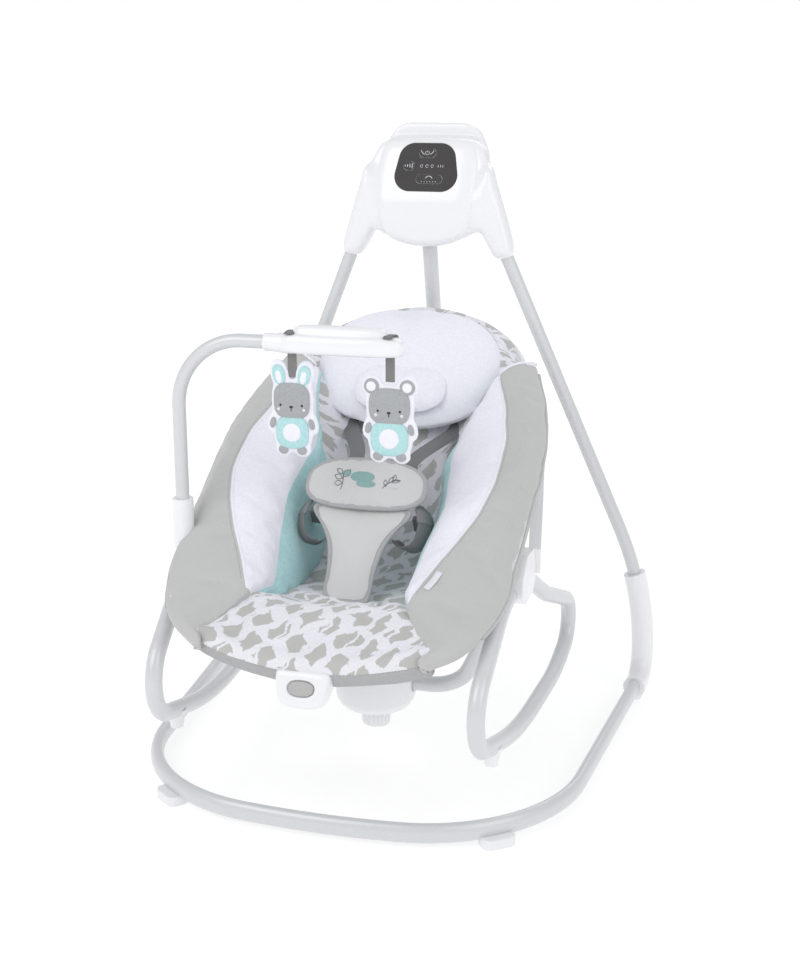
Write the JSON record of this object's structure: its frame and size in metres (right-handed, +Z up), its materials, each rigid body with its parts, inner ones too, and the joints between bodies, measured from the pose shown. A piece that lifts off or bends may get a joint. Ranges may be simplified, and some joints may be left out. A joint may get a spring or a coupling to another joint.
{
  "type": "baby_swing",
  "caption": "Baby swing on a tubular floor stand with a motor head, a padded seat that lifts off its arm to stand on rocker tubes, a harness, and a toy bar with plush toys",
  "frame": {"origin": "centre of the bounding box on the floor, under the seat", "axes": "+Z up, -Y to the front where the seat faces, +X to the right seen from the front"},
  "size_m": [0.802, 0.797, 0.98],
  "materials": {
    "silver_paint": "satin",
    "white_plastic": "gloss",
    "foot_plastic": "matte",
    "dark_panel": "gloss",
    "key_plastic": "satin",
    "inner_plastic": "matte",
    "inner_steel": "brushed",
    "print_fabric": "matte",
    "grey_fabric": "matte",
    "white_plush": "matte",
    "webbing": "matte",
    "buckle_plastic": "satin",
    "toy_plush": "matte"
  },
  "bodies": {
    "stand": {"base_tube": "silver_paint", "left_leg_tube": "silver_paint", "right_leg_tube": "silver_paint", "left_leg_elbow": "white_plastic", "right_leg_elbow": "white_plastic", "floor_feet": "foot_plastic", "head_front_shell": "white_plastic", "head_rear_shell": "white_plastic", "control_lens": "dark_panel", "control_board": "inner_plastic", "speaker": "inner_plastic", "drive_coil": "inner_steel", "pivot_bushes": "inner_plastic", "battery_cells": "inner_steel", "head_screws": "inner_steel"},
    "battery_door": {"battery_door": "white_plastic"},
    "power_button": {"power_button": "dark_panel"},
    "sound_button": {"sound_button": "dark_panel"},
    "speed_button": {"speed_button": "dark_panel"},
    "swing": {"pivot_shaft": "inner_steel", "arm_yoke": "inner_plastic", "drive_magnet": "inner_steel", "arm_upper_tube": "silver_paint", "arm_lower_tube": "silver_paint", "dock_bowl": "white_plastic"},
    "release_knob": {"release_knob": "white_plastic"},
    "seat": {"cradle_tube": "silver_paint", "dock_saddle": "white_plastic", "left_side_hub": "white_plastic", "right_side_hub": "white_plastic", "left_rocker_tube": "silver_paint", "right_rocker_tube": "silver_paint", "rocker_feet": "foot_plastic", "seat_hoop": "silver_paint", "left_seat_arm": "white_plastic", "right_seat_arm": "white_plastic", "seat_pad": "print_fabric", "back_pad": "print_fabric", "left_wing": "grey_fabric", "right_wing": "grey_fabric", "headrest": "white_plush", "head_cradle": "white_plush", "crotch_pad": "grey_fabric", "waist_pad": "grey_fabric", "harness_straps": "webbing", "harness_buckles": "buckle_plastic", "vibration_housing": "white_plastic", "vibration_motor": "inner_steel", "toy_bar_socket": "white_plastic"},
    "vibration_button": {"vibration_button": "key_plastic"},
    "toy_bar": {"toy_bar_tube": "silver_paint", "toy_bar_beam": "white_plastic"},
    "rabbit": {"rabbit_ribbon": "webbing", "rabbit_head": "toy_plush", "rabbit_body": "toy_plush", "rabbit_limbs": "toy_plush"},
    "bear": {"bear_ribbon": "webbing", "bear_head": "toy_plush", "bear_body": "toy_plush", "bear_limbs": "toy_plush"}
  },
  "joints": [
    {"name": "swing_pivot", "type": "hinge", "parent": "stand", "child": "swing", "pos_m": [0, 0.285, 0.85], "axis": [0, 1, 0], "range_deg": [-14, 14]},
    {"name": "seat_lift", "type": "slide", "parent": "swing", "child": "seat", "axis": [0, 0, 1], "range_m": [0, 0.05]},
    {"name": "release_knob", "type": "slide", "parent": "swing", "child": "release_knob", "axis": [0, 0, 1], "range_m": [-0.006, 0], "stiffness_N_per_m": 400, "springref_m": 0.004},
    {"name": "toy_bar_turn", "type": "hinge", "parent": "seat", "child": "toy_bar", "pos_m": [-0.248, -0.196, 0.43], "axis": [0, 0, 1], "range_deg": [-110, 0]},
    {"name": "rabbit_swing", "type": "hinge", "parent": "toy_bar", "child": "rabbit", "pos_m": [-0.072, -0.196, 0.683], "axis": [1, 0, 0], "range_deg": [-30, 30]},
    {"name": "bear_swing", "type": "hinge", "parent": "toy_bar", "child": "bear", "pos_m": [0.072, -0.196, 0.683], "axis": [1, 0, 0], "range_deg": [-30, 30]},
    {"name": "power_button", "type": "slide", "parent": "stand", "child": "power_button", "axis": [0, -0.9385, 0.3453], "range_m": [-0.001, 0], "stiffness_N_per_m": 600, "springref_m": 0.001},
    {"name": "sound_button", "type": "slide", "parent": "stand", "child": "sound_button", "axis": [0, -0.9385, 0.3453], "range_m": [-0.001, 0], "stiffness_N_per_m": 600, "springref_m": 0.001},
    {"name": "speed_button", "type": "slide", "parent": "stand", "child": "speed_button", "axis": [0, -0.9385, 0.3453], "range_m": [-0.001, 0], "stiffness_N_per_m": 600, "springref_m": 0.001},
    {"name": "vibration_button", "type": "slide", "parent": "seat", "child": "vibration_button", "axis": [0, -0.9397, 0.342], "range_m": [-0.0015, 0], "stiffness_N_per_m": 500, "springref_m": 0.001},
    {"name": "battery_door", "type": "hinge", "parent": "stand", "child": "battery_door", "pos_m": [0, 0.372, 0.943], "axis": [1, 0, 0], "range_deg": [0, 75]}
  ]
}
